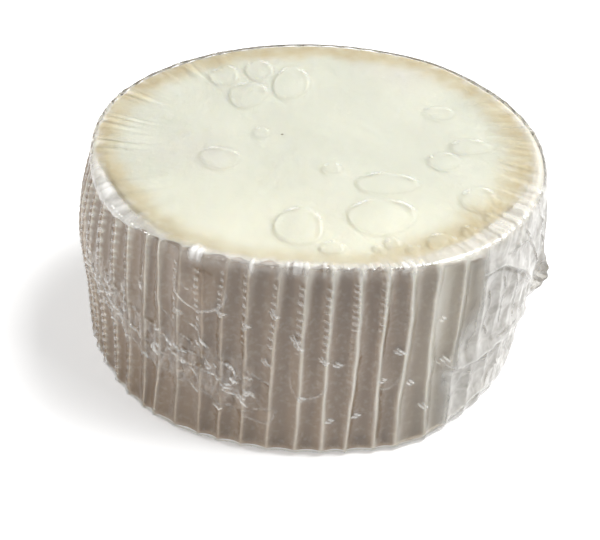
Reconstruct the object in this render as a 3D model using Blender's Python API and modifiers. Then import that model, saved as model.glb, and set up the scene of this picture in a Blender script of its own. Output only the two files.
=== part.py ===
"""Short piece of a fluted goat cheese log in clear shrink film, as one closed solid.

The piece stands on one of its two cut faces. Scalloped flutes with sharp ridges between
them run up its side. The film lies on it like a skin: it rounds the rim, covers the ends
of the flutes, bridges them on the right, lifts in low blisters on the upper cut face, and
gathers in folds round the side that end in a small ear on the right. Front is -Y.
Units are metres, angles are in degrees counter-clockwise from +X.
"""
import math

import bmesh
import bpy
from mathutils import Matrix, Vector

# Whole piece
RIDGE_RADIUS = 0.0450        # over the ridges
HEIGHT = 0.0400              # between the cut faces
CUT_FACE_RADIUS = 0.0417     # flat part of the upper cut face
FOOT_FACE_RADIUS = 0.0434    # flat part that the piece stands on
SHOULDER_HEIGHT = 0.0030     # rounded rim between the cut face and the side
FOOT_HEIGHT = 0.0014         # rounded edge at the bottom
CUT_SLOPE = -0.024           # rise of the upper cut along +X
TOP_SHIFT = 0.0017           # the top stands this far towards +X of the bottom

# Flutes
FLUTES = 60
STEPS_PER_FLUTE = 6
FRONT_RIDGE = -91.9          # the ridge nearest to the front
FLUTE_DEPTH = 0.0012
DEPTH_AT_FOOT = 0.35         # share of the depth that is left where the film turns under
FOOT_FADE = 0.0035           # height below which the channels get shallower
SIDE_LEVELS = (0.0345, 0.0300, 0.0240, 0.0180, 0.0120, 0.0060)

# Film cap over the upper ends of the flutes: its usual height, and where it is higher
CAP_HEIGHT = 0.0025
HIGHER_CAPS = (              # angle, half angle, added height
    (206, 28, 0.0050),
    (330, 24, 0.0065),
)

# Film stretched over the flutes: angle, half angle, share of the depth that it hides
FILM_BRIDGES = (
    (330, 20, 0.75),
    (241, 7, 0.45),
)

# Slow changes of radius: times round, size, angle of the bulge
TOP_OUT_OF_ROUND = ((2, 0.00024, 0), (3, 0.00048, -47))
FOOT_OUT_OF_ROUND = ((2, 0.00046, 74), (3, 0.00042, 57))

# Places where the film stands off or pulls in: angle, half angle, height, half height, lift
FILM_SWELLS = (
    (186, 26, 0.0400, 0.0060, -0.0014),
    (192, 22, 0.0230, 0.0075, 0.0009),
    (352, 24, 0.0285, 0.0075, 0.0011),
    (56, 12, 0.0370, 0.0050, 0.0008),
    (272, 20, 0.0400, 0.0090, -0.0015),
    (297, 12, 0.0, 0.0080, 0.0016),
    (233, 18, 0.0, 0.0080, 0.0011),
)

# Blisters on the upper cut face: x, y, half size along x, half size along y
BLISTERS = (
    (0.0118, -0.0254, 0.0059, 0.0056),
    (0.0131, -0.0143, 0.0054, 0.0038),
    (-0.0027, -0.0295, 0.0042, 0.0060),
    (-0.0182, -0.0078, 0.0036, 0.0040),
    (0.0243, -0.0054, 0.0031, 0.0033),
    (0.0300, 0.0004, 0.0039, 0.0031),
    (0.0299, -0.0187, 0.0033, 0.0043),
    (-0.0143, 0.0181, 0.0040, 0.0052),
    (-0.0056, 0.0244, 0.0040, 0.0060),
)
BLISTER_RISE = 0.00035
BLISTER_SIDES = 16
BLISTER_RINGS = 8

# Gathered folds of film on the side: route of angle and height, tube radius, depth of its centre
RIGHT_FOLD = ((-12, 0.0170), (-20, 0.0150), (-30, 0.0138), (-42, 0.0130), (-54, 0.0149))
LEFT_FOLD = ((-153, 0.0232), (-141, 0.0198), (-129, 0.0167), (-116, 0.0150), (-103, 0.0154))
FOLD_RADIUS = 0.0009
FOLD_SINK = 0.0006           # the fold reaches the floor of the flutes
FOLD_STEP = 2.0              # degrees between the points of a fold

# Ear where the folds end
EAR_ANGLE = -13.0
EAR_HEIGHT = 0.0178
EAR_REACH = 0.0042           # out from the ridges
EAR_ROOT = 0.0025            # length hidden in the body
EAR_HALF_HEIGHT = 0.0080
EAR_HALF_WIDTH = 0.0044
EAR_TIP_SHARE = 0.25
EAR_SIDES = 10

FILM_COLOUR = (0.80, 0.76, 0.66, 1.0)
SHARP_ANGLE = math.radians(50)
MERGE_DISTANCE = 0.00001


def clear_objects():
    """Remove what the file holds at the start."""
    for obj in list(bpy.data.objects):
        bpy.data.objects.remove(obj, do_unlink=True)


def new_collection(name):
    """Add an empty collection to the scene."""
    collection = bpy.data.collections.new(name)
    bpy.context.scene.collection.children.link(collection)
    return collection


def film_material():
    """Ivory rind under clear glossy film."""
    material = bpy.data.materials.new("film_on_cheese")
    material.use_nodes = True
    shader = material.node_tree.nodes["Principled BSDF"]
    shader.inputs["Base Color"].default_value = FILM_COLOUR
    shader.inputs["Roughness"].default_value = 0.25
    shader.inputs["Metallic"].default_value = 0.0
    return material


def smooth_step(low, high, value):
    """Rise smoothly from 0 at low to 1 at high."""
    share = min(max((value - low) / (high - low), 0.0), 1.0)
    return share * share * (3.0 - 2.0 * share)


def lobe(angle, centre, half_angle):
    """Bell curve round the piece, 1 at its centre."""
    away = (angle - centre + 180.0) % 360.0 - 180.0
    return math.exp(-(away / half_angle) ** 2)


def groove(angle):
    """Scallop between two ridges, 0 on a ridge and 1 in the middle of the flute."""
    phase = ((angle - FRONT_RIDGE) * FLUTES / 360.0) % 1.0
    return 1.0 - (2.0 * phase - 1.0) ** 2


def out_of_round(angle, waves):
    """Sum of slow waves round the piece."""
    return sum(size * math.cos(math.radians(times * (angle - bulge))) for times, size, bulge in waves)


def cap_height(angle):
    """Height of the smooth film cap below the rim."""
    return CAP_HEIGHT + sum(extra * lobe(angle, centre, half) for centre, half, extra in HIGHER_CAPS)


def flute_depth(angle, height):
    """How far the side lies inside the ridges."""
    cap = cap_height(angle)
    below_cap = smooth_step(HEIGHT - 0.6 * cap, HEIGHT - 1.6 * cap, height)
    above_foot = DEPTH_AT_FOOT + (1.0 - DEPTH_AT_FOOT) * smooth_step(0.0, FOOT_FADE, height)
    bridged = sum(share * lobe(angle, centre, half) for centre, half, share in FILM_BRIDGES)
    return FLUTE_DEPTH * groove(angle) * below_cap * above_foot * (1.0 - bridged)


def side_offset(angle, height):
    """Change of radius on the side against a plain cylinder."""
    share = height / HEIGHT
    offset = share * out_of_round(angle, TOP_OUT_OF_ROUND)
    offset += (1.0 - share) * out_of_round(angle, FOOT_OUT_OF_ROUND)
    for centre, half_angle, level, half_height, lift in FILM_SWELLS:
        offset += lift * lobe(angle, centre, half_angle) * math.exp(-((height - level) / half_height) ** 2)
    return offset - flute_depth(angle, height)


def quarter_round(inner, outer, low, high, steps, downwards):
    """Points of a rounded edge between a flat face and the side, without its two ends."""
    points = []
    for step in range(1, steps):
        turn = math.pi / 2.0 * step / steps
        if downwards:
            points.append((inner + (outer - inner) * math.sin(turn), low + (high - low) * math.cos(turn)))
        else:
            points.append((inner + (outer - inner) * math.cos(turn), high - (high - low) * math.sin(turn)))
    return points


def body_profile():
    """Half outline, from the middle of the top down the side to the middle of the bottom."""
    points = [(0.0, HEIGHT), (CUT_FACE_RADIUS, HEIGHT)]
    points += quarter_round(CUT_FACE_RADIUS, RIDGE_RADIUS, HEIGHT - SHOULDER_HEIGHT, HEIGHT, 3, True)
    points.append((RIDGE_RADIUS, HEIGHT - SHOULDER_HEIGHT))
    points += [(RIDGE_RADIUS, level) for level in SIDE_LEVELS]
    points.append((RIDGE_RADIUS, FOOT_HEIGHT))
    points += quarter_round(FOOT_FACE_RADIUS, RIDGE_RADIUS, 0.0, FOOT_HEIGHT, 2, False)
    points += [(FOOT_FACE_RADIUS, 0.0), (0.0, 0.0)]
    return points


def turned_object(name, profile, steps, collection):
    """Turn a half outline round Z with a Screw modifier and keep the mesh that it makes."""
    mesh = bpy.data.meshes.new(name)
    mesh.from_pydata([(radius, 0.0, height) for radius, height in profile],
                     [(index, index + 1) for index in range(len(profile) - 1)], [])
    obj = bpy.data.objects.new(name, mesh)
    collection.objects.link(obj)
    turn = obj.modifiers.new("turn", "SCREW")
    turn.axis = "Z"
    turn.steps = steps
    turn.render_steps = steps
    turn.use_merge_vertices = True
    turn.merge_threshold = MERGE_DISTANCE
    keep_evaluated_mesh(obj)
    return obj


def keep_evaluated_mesh(obj):
    """Apply the modifiers of an object."""
    bpy.context.view_layer.update()
    evaluated = obj.evaluated_get(bpy.context.evaluated_depsgraph_get())
    finished = bpy.data.meshes.new_from_object(evaluated)
    obj.modifiers.clear()
    obj.data = finished


def flute_side(obj):
    """Press the flutes and the slack of the film into the turned body."""
    for vertex in obj.data.vertices:
        radius = math.hypot(vertex.co.x, vertex.co.y)
        if radius < MERGE_DISTANCE:
            continue
        angle = math.degrees(math.atan2(vertex.co.y, vertex.co.x))
        offset = side_offset(angle, vertex.co.z) * smooth_step(0.8 * CUT_FACE_RADIUS, RIDGE_RADIUS, radius)
        vertex.co.x *= (radius + offset) / radius
        vertex.co.y *= (radius + offset) / radius


def side_point(angle, height, lift):
    """Point at an angle and height, lifted from the ridges."""
    radius = RIDGE_RADIUS + side_offset(angle, height) + flute_depth(angle, height) + lift
    turn = math.radians(angle)
    return Vector((radius * math.cos(turn), radius * math.sin(turn), height))


def mesh_object(name, shape, collection):
    """Turn a bmesh into an object."""
    mesh = bpy.data.meshes.new(name)
    shape.to_mesh(mesh)
    shape.free()
    obj = bpy.data.objects.new(name, mesh)
    collection.objects.link(obj)
    return obj


def hide_joining_piece(obj):
    """Show a piece that is only there to be joined as a wire."""
    obj.hide_render = True
    obj.display_type = "WIRE"


def add_blister(number, place, collection):
    """Low dome of film on the upper cut face, the top of a flattened ball."""
    x, y, half_x, half_y = place
    shape = bmesh.new()
    bmesh.ops.create_uvsphere(shape, u_segments=BLISTER_SIDES, v_segments=BLISTER_RINGS, radius=1.0)
    size = Matrix.Diagonal((half_x, half_y, BLISTER_RISE, 1.0))
    bmesh.ops.transform(shape, matrix=Matrix.Translation((x, y, HEIGHT)) @ size, verts=shape.verts)
    hide_joining_piece(mesh_object("blister_%02d" % number, shape, collection))


def fold_route(corners):
    """Points along a fold, smoothly between its corners."""
    first, last = corners[0][0], corners[-1][0]
    count = max(2, round(abs(last - first) / FOLD_STEP))
    route = []
    for step in range(count + 1):
        angle = first + (last - first) * step / count
        for start, end in zip(corners, corners[1:]):
            if min(start[0], end[0]) <= angle <= max(start[0], end[0]):
                share = smooth_step(0.0, 1.0, (angle - start[0]) / (end[0] - start[0]))
                height = start[1] + (end[1] - start[1]) * share
                break
        route.append(side_point(angle, height, -FOLD_SINK))
    return route


def add_fold(name, corners, collection):
    """Gathered fold of film, a thin tube sunk in the ridges that bridges the flutes."""
    route = fold_route(corners)
    curve = bpy.data.curves.new(name, "CURVE")
    curve.dimensions = "3D"
    curve.bevel_depth = FOLD_RADIUS
    curve.bevel_resolution = 1
    curve.use_fill_caps = True
    spline = curve.splines.new("POLY")
    spline.points.add(len(route) - 1)
    for point, place in zip(spline.points, route):
        point.co = (place.x, place.y, place.z, 1.0)
    tube = bpy.data.objects.new(name + "_curve", curve)
    collection.objects.link(tube)
    bpy.context.view_layer.update()
    evaluated = tube.evaluated_get(bpy.context.evaluated_depsgraph_get())
    shape = bmesh.new()
    shape.from_mesh(bpy.data.meshes.new_from_object(evaluated))
    bmesh.ops.remove_doubles(shape, verts=shape.verts, dist=MERGE_DISTANCE)
    bpy.data.objects.remove(tube, do_unlink=True)
    hide_joining_piece(mesh_object(name, shape, collection))


def add_ear(collection):
    """Small flap of film that stands off the side, a flattened blunt cone."""
    length = EAR_ROOT + EAR_REACH
    shape = bmesh.new()
    bmesh.ops.create_cone(shape, cap_ends=True, segments=EAR_SIDES, radius1=1.0, radius2=EAR_TIP_SHARE, depth=1.0)
    size = Matrix.Diagonal((EAR_HALF_HEIGHT, EAR_HALF_WIDTH, length, 1.0))
    outwards = Matrix.Rotation(math.radians(EAR_ANGLE), 4, "Z") @ Matrix.Rotation(math.radians(90), 4, "Y")
    middle = side_point(EAR_ANGLE, EAR_HEIGHT, EAR_REACH - length / 2.0)
    bmesh.ops.transform(shape, matrix=Matrix.Translation(middle) @ outwards @ size, verts=shape.verts)
    hide_joining_piece(mesh_object("ear", shape, collection))


def join_all(body, pieces):
    """Fuse the pieces of a collection into the body and remove them."""
    union = body.modifiers.new("join", "BOOLEAN")
    union.operation = "UNION"
    union.operand_type = "COLLECTION"
    union.collection = pieces
    union.solver = "EXACT"
    keep_evaluated_mesh(body)
    for obj in list(pieces.objects):
        bpy.data.objects.remove(obj, do_unlink=True)


def lean(obj):
    """Slope the upper cut and shift the top, growing from nothing at the bottom face."""
    for vertex in obj.data.vertices:
        share = vertex.co.z / HEIGHT
        vertex.co.z += share * CUT_SLOPE * vertex.co.x
        vertex.co.x += TOP_SHIFT * share


def main():
    """Build the wrapped piece of cheese log."""
    clear_objects()
    part = new_collection("goat_cheese_log")
    joining = new_collection("joining_pieces")
    body = turned_object("wrapped_cheese", body_profile(), FLUTES * STEPS_PER_FLUTE, part)
    flute_side(body)
    for number, place in enumerate(BLISTERS, start=1):
        add_blister(number, place, joining)
    add_fold("right_fold", RIGHT_FOLD, joining)
    add_fold("left_fold", LEFT_FOLD, joining)
    add_ear(joining)
    join_all(body, joining)
    lean(body)
    body.data.materials.clear()
    body.data.materials.append(film_material())
    body.data.shade_smooth()
    body.data.set_sharp_from_angle(angle=SHARP_ANGLE)


main()
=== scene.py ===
# %% [markdown]
# A short, thick round cut from a fluted goat cheese log, shrink-wrapped in clear film.
#
# The lesson builds two things, one inside the other, as they are in a shop: the cheese, with
# its ivory paste, its yellow ripened ring and its white rind, and the film that is shrunk
# round it. Nearly all that makes this object look real is in the film: blisters of trapped
# air, puckers along the ridges, pleats at the rim and a crumpled seam.

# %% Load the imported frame
import math

import bmesh
import bpy
import numpy as np
from mathutils import Matrix, Vector


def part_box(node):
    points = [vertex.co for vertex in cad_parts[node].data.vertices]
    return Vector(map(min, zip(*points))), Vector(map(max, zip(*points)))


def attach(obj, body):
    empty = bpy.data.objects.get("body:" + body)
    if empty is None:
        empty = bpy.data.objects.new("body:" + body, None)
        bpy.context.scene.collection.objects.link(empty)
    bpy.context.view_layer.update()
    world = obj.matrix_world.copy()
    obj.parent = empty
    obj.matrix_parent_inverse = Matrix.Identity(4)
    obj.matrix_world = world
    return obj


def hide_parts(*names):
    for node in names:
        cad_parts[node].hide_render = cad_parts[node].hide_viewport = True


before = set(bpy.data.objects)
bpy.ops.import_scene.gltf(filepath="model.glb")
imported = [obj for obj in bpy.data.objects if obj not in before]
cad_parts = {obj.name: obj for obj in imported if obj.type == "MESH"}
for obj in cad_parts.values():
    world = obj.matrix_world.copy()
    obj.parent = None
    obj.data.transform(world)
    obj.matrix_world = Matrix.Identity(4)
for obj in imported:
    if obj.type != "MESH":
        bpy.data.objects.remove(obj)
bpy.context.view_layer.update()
node_low, node_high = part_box("wrapped_cheese")
print("nodes:", list(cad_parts))
print("the solid reaches from", [round(v, 4) for v in node_low], "to", [round(v, 4) for v in node_high])

# %% [markdown]
# The wrapped log is a drum with 60 scalloped flutes round it. Its main sizes are the ones
# that the solid was made from, so the cheese and the film fill the solid. Finer forms are
# added here: the ridges in front are unevenly spaced, and the rim sags on the left. Angles
# are in degrees, counter-clockwise from +X, and the front is -Y, at -90. A form that is
# found in only one part of the side is given by the angle of its middle and a half angle.

# %% Sizes of the log
MM = 0.001
RIDGE_RADIUS = 45.0 * MM
HEIGHT = 40.0 * MM
CUT_FACE_RADIUS = 41.7 * MM
FOOT_HEIGHT = 1.4 * MM
RIM_ROUND = 1.1 * MM
CUT_SLOPE = -0.024
TOP_SHIFT = 1.7 * MM
FLUTES = 60
FRONT_RIDGES = (-150.6, -143.3, -137.4, -131.5, -127.4, -121.5, -115.0, -109.6, -104.4, -97.9,
                -91.5, -85.4, -79.3, -73.6, -67.7, -61.1, -54.1)
FLUTE_DEPTH = 1.2 * MM
DEPTH_AT_FOOT = 0.35
FOOT_FADE = 3.5 * MM
CAP_HEIGHT = 0.35 * MM
HIGHER_CAPS = (      # angle, half angle, added height
    (205, 20, 1.5 * MM),
    (335, 22, 7.0 * MM),
    (120, 60, 1.2 * MM),
    (42, 26, 1.4 * MM),
)
RIM_SLOPE = (214, 16, 0.75 * MM)      # angle, half angle, drop of the edge
SHOULDER_START = 0.6                  # share of the height
SHOULDER_DROP = 0.4 * MM
SOFTER_SHOULDERS = (                  # angle, half angle, added drop
    (200, 24, 0.8 * MM),
    (272, 20, 1.7 * MM),
    (338, 30, 1.0 * MM),
    (90, 60, 0.4 * MM),
)
TOP_OUT_OF_ROUND = ((2, 0.24 * MM, 0), (3, 0.48 * MM, -47))        # waves, size, angle of a crest
FOOT_OUT_OF_ROUND = ((2, 0.46 * MM, 74), (3, 0.42 * MM, 57))
FILM_SWELLS = (                       # angle, half angle, height, half height, swell
    (186, 26, 40.0 * MM, 6.0 * MM, -1.4 * MM),
    (192, 22, 23.0 * MM, 7.5 * MM, 0.9 * MM),
    (352, 24, 28.5 * MM, 7.5 * MM, 1.1 * MM),
    (56, 12, 37.0 * MM, 5.0 * MM, 0.8 * MM),
    (297, 12, 0.0, 8.0 * MM, 1.6 * MM),
    (233, 18, 0.0, 8.0 * MM, 1.1 * MM),
)
print("a flute is", round(2 * math.pi * RIDGE_RADIUS / FLUTES / MM, 2), "mm wide")


# %% [markdown]
# Every later shape is a sum of a few simple curves, worked out for all the vertices of a
# piece at once: a smooth step, a plateau, a bell, and slow noise made of sine waves. The
# waves have whole numbers of turns, so they meet themselves after a full circle.

# %% Small curves that shape everything
NOISE_WAVES = 9


def smooth_step(low, high, value):
    """Rise smoothly from 0 at low to 1 at high."""
    share = np.clip((value - low) / (high - low), 0.0, 1.0)
    return share * share * (3.0 - 2.0 * share)


def plateau(value, start, full, fading, gone):
    """Rise from 0 to 1 between start and full, and fall again between fading and gone."""
    return smooth_step(start, full, value) * (1.0 - smooth_step(fading, gone, value))


def bell(value, centre, half_width):
    """Bell curve along a line, 1 at its centre."""
    return np.exp(-((value - centre) / half_width) ** 2)


def signed(angle):
    """The same angle, from -180 to 180 degrees."""
    return (angle + 180.0) % 360.0 - 180.0


def lobe(angle, centre, half_angle):
    """Bell curve round the piece, 1 at its centre."""
    return bell(signed(angle - centre), 0.0, half_angle)


def sum_of_lobes(angle, lobes):
    """Sum of bells round the piece, each with its own size."""
    return sum(size * lobe(angle, centre, half) for centre, half, size in lobes)


def flat_place(angle, radius):
    """X and Y of a place seen from above."""
    return radius * np.cos(np.radians(angle)), radius * np.sin(np.radians(angle))


def slow_noise(angle, height, seed, turns, rise):
    """Soft noise from -1 to 1 over angle and height: turns round the piece, rise in mm."""
    draw = np.random.default_rng(seed)
    total = np.zeros_like(angle)
    for _ in range(NOISE_WAVES):
        times = int(draw.integers(max(1, turns // 3), turns + 1)) * draw.choice((-1, 1))
        climb = draw.uniform(-1.0, 1.0) * 2.0 * math.pi / (rise * MM)
        total += np.sin(np.radians(angle) * times + height * climb + draw.uniform(0, 2 * math.pi))
    return total / math.sqrt(NOISE_WAVES / 2.0) / 2.0


print("a smooth step at 0, 0.25 and 1:", smooth_step(0, 1, np.array([0.0, 0.25, 1.0])))


# %% [markdown]
# The flutes come from the mould that the log was drained in. Each one is a shallow scallop,
# and two scallops meet in a sharp ridge, like the flutes of a stone column. A parabola
# gives that shape: flat in the middle of the flute and steep at the ridges. The ridges
# sway a little, so they are counted with some noise. A smooth cap of rind and film closes
# the flutes just below the rim.

# %% Flutes
LEAST_CAP = 0.15 * MM


def ridge_count(angle, height):
    """Count the ridges round the piece: a whole number on each ridge, which sways a little."""
    sway = 0.35 * slow_noise(angle, height, 3, 40, 26.0) + 0.14 * slow_noise(angle, height, 4, 60, 7.0)
    first = FRONT_RIDGES[0]
    places = [ridge - first for ridge in FRONT_RIDGES] + [360.0]
    counts = list(range(len(FRONT_RIDGES))) + [FLUTES]
    return np.interp((angle + sway - first) % 360.0, places, counts)


def ridge_phase(angle, height):
    """0 on a ridge, 0.5 in the middle of the flute to its right, nearly 1 at the next ridge."""
    return ridge_count(angle, height) % 1.0


def cap_height(angle):
    """How far the smooth cap of rind and film reaches down from the rim."""
    return CAP_HEIGHT + sum_of_lobes(angle, HIGHER_CAPS)


def below_cap(angle, height):
    """0 under the smooth cap at the rim, 1 below it, with an uneven border."""
    uneven = 0.25 * MM * slow_noise(angle, height * 0, 7, 75, 9.0)
    cap = np.maximum(cap_height(angle) + uneven, LEAST_CAP)
    return smooth_step(HEIGHT - 0.6 * cap, HEIGHT - 1.6 * cap, height)


def flute_depth(angle, height):
    """How far the side lies inside the ridges."""
    above_foot = DEPTH_AT_FOOT + (1.0 - DEPTH_AT_FOOT) * smooth_step(0.0, FOOT_FADE, height)
    scallop = 1.0 - (2.0 * ridge_phase(angle, height) - 1.0) ** 2
    return FLUTE_DEPTH * scallop * below_cap(angle, height) * above_foot


front_depth = float(flute_depth(np.array([-88.9]), np.array([20.0 * MM]))[0])
print("flute depth at the front:", round(front_depth / MM, 2), "mm")


# %% [markdown]
# A soft cheese is never a true cylinder. It is slightly out of round, it swells and gives
# way in places, its shoulder is soft, and the film has pulled its rim down on the left. The
# upper cut slopes a little, too. All of this is slow, so a few bells and waves do for it.

# %% Slack of the drum
def out_of_round(angle, waves):
    """Sum of slow waves round the piece."""
    return sum(size * np.cos(np.radians(times * (angle - bulge))) for times, size, bulge in waves)


def drum_offset(angle, height):
    """Slow changes of radius against a plain cylinder."""
    share = height / HEIGHT
    offset = share * out_of_round(angle, TOP_OUT_OF_ROUND)
    offset = offset + (1.0 - share) * out_of_round(angle, FOOT_OUT_OF_ROUND)
    for centre, half_angle, level, half_height, lift in FILM_SWELLS:
        offset = offset + lift * lobe(angle, centre, half_angle) * bell(height, level, half_height)
    near_rim = np.clip((share - SHOULDER_START) / (1.0 - SHOULDER_START), 0.0, 1.0) ** 2
    return offset - near_rim * (SHOULDER_DROP + sum_of_lobes(angle, SOFTER_SHOULDERS))


def rim_drop(angle, height, radius):
    """How far the slack rim on the left slopes down, and the wall below it gives way."""
    centre, half_angle, drop = RIM_SLOPE
    outwards = smooth_step(41.0 * MM, 44.6 * MM, radius)
    upwards = smooth_step(HEIGHT - 8.0 * MM, HEIGHT, height)
    return drop * lobe(angle, centre, half_angle) * outwards * upwards


def lean(places):
    """Slope the upper cut and shift the top, growing from nothing at the bottom."""
    share = places[:, 2] / HEIGHT
    places[:, 2] += share * CUT_SLOPE * places[:, 0]
    places[:, 0] += TOP_SHIFT * share
    return places


slack_sample = drum_offset(np.arange(-180.0, 180.0, 5.0), np.full(72, 20.0 * MM))
print("halfway up, the radius varies by", round(float(np.ptp(slack_sample)) / MM, 2), "mm")


# %% [markdown]
# Modelling by hand means choosing edges or faces and then using a tool on them. In a script
# they are chosen by where they are or by where they face, which does the same.

# %% Choosing edges and faces
def open_for_editing(obj):
    """Enter edit mode on one object with nothing selected."""
    bpy.ops.object.select_all(action="DESELECT")
    obj.select_set(True)
    bpy.context.view_layer.objects.active = obj
    bpy.ops.object.mode_set(mode="EDIT")
    bpy.ops.mesh.select_mode(type="EDGE")
    bpy.ops.mesh.select_all(action="DESELECT")


def pick_edges(obj, wanted):
    """Select the edges whose two ends pass a test."""
    bpy.ops.mesh.select_mode(type="EDGE")
    bpy.ops.mesh.select_all(action="DESELECT")
    shape = bmesh.from_edit_mesh(obj.data)
    for edge in shape.edges:
        if wanted(edge.verts[0].co, edge.verts[1].co):
            edge.select = True
    bmesh.update_edit_mesh(obj.data)


def pick_faces(obj, wanted):
    """Select the faces whose middle and normal pass a test."""
    bpy.ops.mesh.select_mode(type="FACE")
    bpy.ops.mesh.select_all(action="DESELECT")
    shape = bmesh.from_edit_mesh(obj.data)
    for face in shape.faces:
        if wanted(face.calc_center_median(), face.normal):
            face.select = True
    bmesh.update_edit_mesh(obj.data)


# %% [markdown]
# Both the cheese and the film start as the same plain drum: a cylinder whose rim is
# bevelled round, whose end faces are inset down to a small middle, and whose long edges are
# subdivided into many short rows. Making it by hand tools first and bending it by formula
# afterwards keeps the mesh in tidy rings, so it has no seam and no stray faces.

# %% A finely divided drum
TINY = 0.001 * MM
CORE_RADIUS = 0.5 * MM      # small disc in the middle of each end face


def divided_drum(name, radius, height, low, columns, rim, foot, rows):
    """Cylinder with a round rim and foot, cut into rings: rows gives rim, side, foot, top, bottom."""
    rim_rows, side_rows, foot_rows, top_rows, bottom_rows = rows
    middle = (0.0, 0.0, low + height / 2.0)
    bpy.ops.mesh.primitive_cylinder_add(vertices=columns, radius=radius, depth=height, location=middle)
    obj = bpy.context.object
    obj.name = name
    obj.data.name = name
    bpy.ops.object.transform_apply(location=True)
    open_for_editing(obj)
    high = low + height
    for level, width, count in ((high, rim, rim_rows), (low, foot, foot_rows)):
        pick_edges(obj, lambda a, b: abs(a.z - level) < TINY and abs(b.z - level) < TINY)
        bpy.ops.mesh.bevel(offset=width, segments=count, profile=0.5)
    long_edge = (height - rim - foot) * 0.9
    pick_edges(obj, lambda a, b: abs(a.z - b.z) > long_edge)
    bpy.ops.mesh.subdivide(number_cuts=side_rows - 1)
    for level, width, count in ((high, rim, top_rows), (low, foot, bottom_rows)):
        pick_faces(obj, lambda middle, normal: abs(middle.z - level) < TINY and abs(normal.z) > 0.99)
        bpy.ops.mesh.inset(thickness=radius - width - CORE_RADIUS)
        bpy.ops.mesh.poke()
        pick_edges(obj, lambda a, b: abs(a.z - level) < TINY and abs(b.z - level) < TINY
                   and abs(a.xy.length - b.xy.length) > 3.0 * CORE_RADIUS)
        bpy.ops.mesh.subdivide(number_cuts=count - 1)
    bpy.ops.object.mode_set(mode="OBJECT")
    return obj


trial = divided_drum("trial_drum", RIDGE_RADIUS, HEIGHT, 0.0, 24, RIM_ROUND, FOOT_HEIGHT, (2, 2, 1, 2, 1))
print("a coarse drum has", len(trial.data.polygons), "faces")

# %% [markdown]
# All the vertices of a piece are read, moved and written back at once, which is far quicker
# than one by one. The same goes for masks: one number for each vertex, for a material.

# %% Reading and moving vertices
def vertex_places(obj):
    """The places of an object's vertices as one array."""
    places = np.empty(len(obj.data.vertices) * 3, dtype=np.float32)
    obj.data.vertices.foreach_get("co", places)
    return places.reshape(-1, 3).astype(np.float64)


def set_places(obj, places):
    """Move an object's vertices to new places."""
    obj.data.vertices.foreach_set("co", places.astype(np.float32).ravel())
    obj.data.update()


def add_mask(obj, name, values):
    """Store one number for each vertex, for a material to read."""
    layer = obj.data.attributes.new(name, "FLOAT", "POINT")
    layer.data.foreach_set("value", np.clip(values, 0.0, 1.0).astype(np.float32))


print("the trial drum reaches up to", vertex_places(trial)[:, 2].max().round(4), "m")
bpy.data.objects.remove(trial)

# %% [markdown]
# The cheese is a drum 0.35 mm smaller than the film all round. Its upper face is a flat cut
# through the paste, and its side carries the full flutes. The rim is where cut and rind
# meet: the rind is soft and felt-like, so the edge is round and a little uneven. One
# function bends both drums, so that the film always lies outside the cheese.

# %% The cheese
FILM_GAP = 0.35 * MM
CHEESE_RADIUS = RIDGE_RADIUS - FILM_GAP
CHEESE_COLUMNS = 900
CHEESE_ROWS = (5, 60, 2, 24, 3)


def bend_drum(obj, shrink, depth_of, offset_of, lift_of):
    """Give a drum its flutes, its slack and its relief, and return what the masks need."""
    places = vertex_places(obj)
    radius = np.hypot(places[:, 0], places[:, 1])
    angle = np.degrees(np.arctan2(places[:, 1], places[:, 0]))
    height = places[:, 2].copy()
    side = smooth_step(0.8 * CUT_FACE_RADIUS, RIDGE_RADIUS, radius + shrink)
    wall = smooth_step(RIDGE_RADIUS - shrink - RIM_ROUND, RIDGE_RADIUS - shrink, radius)
    top = smooth_step(HEIGHT - shrink - 1.01 * RIM_ROUND, HEIGHT - shrink, height)
    new_radius = radius + side * (offset_of(angle, height) - depth_of(angle, height))
    new_radius = new_radius + wall * lift_of(angle, height, radius, "wall")
    new_height = height + top * lift_of(angle, height, radius, "top") - rim_drop(angle, height, radius)
    scale = new_radius / np.maximum(radius, 1e-9)
    placed = np.column_stack((places[:, 0] * scale, places[:, 1] * scale, new_height))
    set_places(obj, lean(placed))
    return angle, height, radius, wall, top


def rind_roughness(angle, height, radius, zone):
    """Low unevenness of the cheese itself."""
    if zone == "wall":
        return 0.05 * MM * slow_noise(angle, height, 5, 90, 4.0)
    x, y = flat_place(angle, radius)
    return 0.05 * MM * (np.sin(x / (5 * MM) + 1.0) * np.sin(y / (7 * MM)) - 0.6)


cheese = divided_drum("goat_cheese", CHEESE_RADIUS, HEIGHT - 2 * FILM_GAP, FILM_GAP,
                      CHEESE_COLUMNS, RIM_ROUND, FOOT_HEIGHT, CHEESE_ROWS)
c_angle, c_height, c_radius, _, c_top = bend_drum(cheese, FILM_GAP, flute_depth, drum_offset,
                                                  rind_roughness)
print("cheese:", len(cheese.data.polygons), "faces")

# %% [markdown]
# The colours of the cheese follow its make: ivory paste in the middle, a yellow ring just
# under the rind where the mould has ripened it, and the white rind itself. Paste and rind
# meet near the rim, but not on a true circle, so the border is a table of radii.

# %% Where the paste ends
PASTE_EDGE = (       # angle, radius in mm where the paste ends and the rind begins
    (0, 42.6), (25, 43.7), (60, 44.2), (140, 44.2), (180, 44.1), (192, 43.9), (197, 43.2),
    (204, 42.5), (212, 42.3), (222, 42.3), (227, 42.3), (231, 43.1), (234, 44.1), (240, 43.9),
    (248, 43.4), (254, 42.9), (262, 42.8), (271, 42.8), (281, 42.8), (290, 42.1), (298, 41.4),
    (306, 41.0), (315, 40.8), (324, 40.8), (334, 41.5), (345, 42.2), (360, 42.6),
)


def paste_radius(angle):
    """Radius of the border between paste and rind on the cut face."""
    angles, sizes = zip(*PASTE_EDGE)
    return np.interp(angle % 360.0, angles, sizes) * MM


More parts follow.
